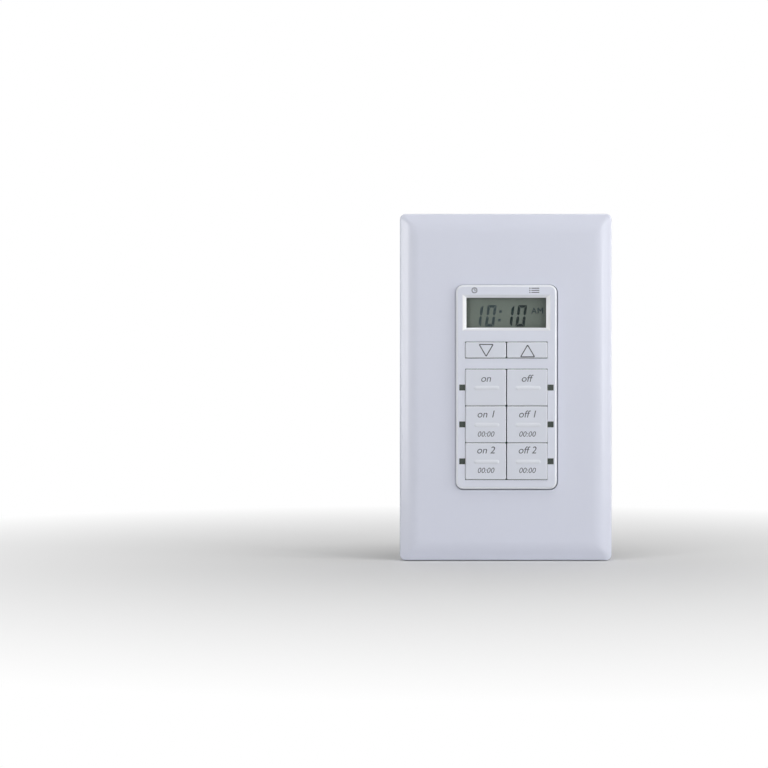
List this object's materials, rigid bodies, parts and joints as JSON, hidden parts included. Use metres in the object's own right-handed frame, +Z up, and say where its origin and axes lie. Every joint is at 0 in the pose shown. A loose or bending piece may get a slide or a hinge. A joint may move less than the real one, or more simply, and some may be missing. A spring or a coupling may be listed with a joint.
{
  "type": "in-wall digital timer switch",
  "caption": "In-wall digital timer switch: screwless cover plate, raised face with segment display, arrow keys, on and off keys with status windows, and a boxed body on a wall-box strap.",
  "frame": {"origin": "midway between the two box screws, on the wall surface", "axes": "+Z up along the plate's height, the face looks along -Y, +Y runs into the wall box"},
  "size_m": [0.0698, 0.0383, 0.1142],
  "materials": {
    "cover_white": "satin, moulded",
    "sub_plate_white": "matte, moulded",
    "zinc_steel": "zinc plated",
    "yoke_steel": "zinc plated sheet",
    "earth_green": "green dyed plating",
    "face_white": "satin, moulded",
    "clear_pane": "clear",
    "lcd_glass": "polarised",
    "lcd_back": "polarised",
    "reflector_film": "matte film",
    "diffuser": "diffusing",
    "black_plastic": "matte",
    "zebra_rubber": "matte",
    "key_white": "satin, moulded",
    "plunger_black": "matte",
    "dome_steel": "bright",
    "smoke_pipe": "smoke tinted",
    "led_body": "milky",
    "board_green": "solder resist",
    "bright_can": "bright",
    "contact_brass": "plain",
    "relay_blue": "gloss",
    "film_yellow": "gloss",
    "can_sleeve": "shrink sleeve",
    "varistor_blue": "dipped",
    "rear_black": "matte, moulded"
  },
  "bodies": {
    "device": {"sub_plate": "sub_plate_white", "sub_plate_screws": "zinc_steel", "box_screws": "zinc_steel", "board_screws": "zinc_steel", "case_screws": "zinc_steel", "yoke": "yoke_steel", "ground_screw": "earth_green", "front_housing": "face_white", "display_window": "clear_pane", "lcd_front_glass": "lcd_glass", "lcd_rear_glass": "lcd_back", "lcd_reflector": "reflector_film", "lcd_backlight": "diffuser", "lcd_holder": "black_plastic", "switch_bodies": "black_plastic", "controller_chip": "black_plastic", "header_strips": "black_plastic", "zebra_strips": "zebra_rubber", "contact_domes": "dome_steel", "light_pipe_left": "smoke_pipe", "light_pipe_right": "smoke_pipe", "status_leds": "led_body", "control_board": "board_green", "power_board": "board_green", "clock_crystal": "bright_can", "backup_cell": "bright_can", "cell_clip": "contact_brass", "header_pins": "contact_brass", "terminal_blocks": "contact_brass", "terminal_screws": "contact_brass", "relay": "relay_blue", "film_capacitor": "film_yellow", "electrolytic_capacitors": "can_sleeve", "varistor": "varistor_blue", "rear_housing": "rear_black"},
    "cover": {"cover_plate": "cover_white"},
    "down_button": {"key_down": "key_white", "plunger_down": "plunger_black"},
    "up_button": {"key_up": "key_white", "plunger_up": "plunger_black"},
    "on_button": {"key_on": "key_white", "plunger_on": "plunger_black"},
    "off_button": {"key_off": "key_white", "plunger_off": "plunger_black"},
    "on_time_1_button": {"key_on_time_1": "key_white", "plunger_on_time_1": "plunger_black"},
    "off_time_1_button": {"key_off_time_1": "key_white", "plunger_off_time_1": "plunger_black"},
    "on_time_2_button": {"key_on_time_2": "key_white", "plunger_on_time_2": "plunger_black"},
    "off_time_2_button": {"key_off_time_2": "key_white", "plunger_off_time_2": "plunger_black"}
  },
  "joints": [
    {"name": "cover_pull", "type": "slide", "parent": "device", "child": "cover", "axis": [0, -1, 0], "range_m": [0, 0.025]},
    {"name": "down_press", "type": "slide", "parent": "device", "child": "down_button", "axis": [0, 1, 0], "range_m": [0, 0.0005], "stiffness_N_per_m": 400},
    {"name": "up_press", "type": "slide", "parent": "device", "child": "up_button", "axis": [0, 1, 0], "range_m": [0, 0.0005], "stiffness_N_per_m": 400},
    {"name": "on_press", "type": "slide", "parent": "device", "child": "on_button", "axis": [0, 1, 0], "range_m": [0, 0.0005], "stiffness_N_per_m": 400},
    {"name": "off_press", "type": "slide", "parent": "device", "child": "off_button", "axis": [0, 1, 0], "range_m": [0, 0.0005], "stiffness_N_per_m": 400},
    {"name": "on_time_1_press", "type": "slide", "parent": "device", "child": "on_time_1_button", "axis": [0, 1, 0], "range_m": [0, 0.0005], "stiffness_N_per_m": 400},
    {"name": "off_time_1_press", "type": "slide", "parent": "device", "child": "off_time_1_button", "axis": [0, 1, 0], "range_m": [0, 0.0005], "stiffness_N_per_m": 400},
    {"name": "on_time_2_press", "type": "slide", "parent": "device", "child": "on_time_2_button", "axis": [0, 1, 0], "range_m": [0, 0.0005], "stiffness_N_per_m": 400},
    {"name": "off_time_2_press", "type": "slide", "parent": "device", "child": "off_time_2_button", "axis": [0, 1, 0], "range_m": [0, 0.0005], "stiffness_N_per_m": 400}
  ]
}
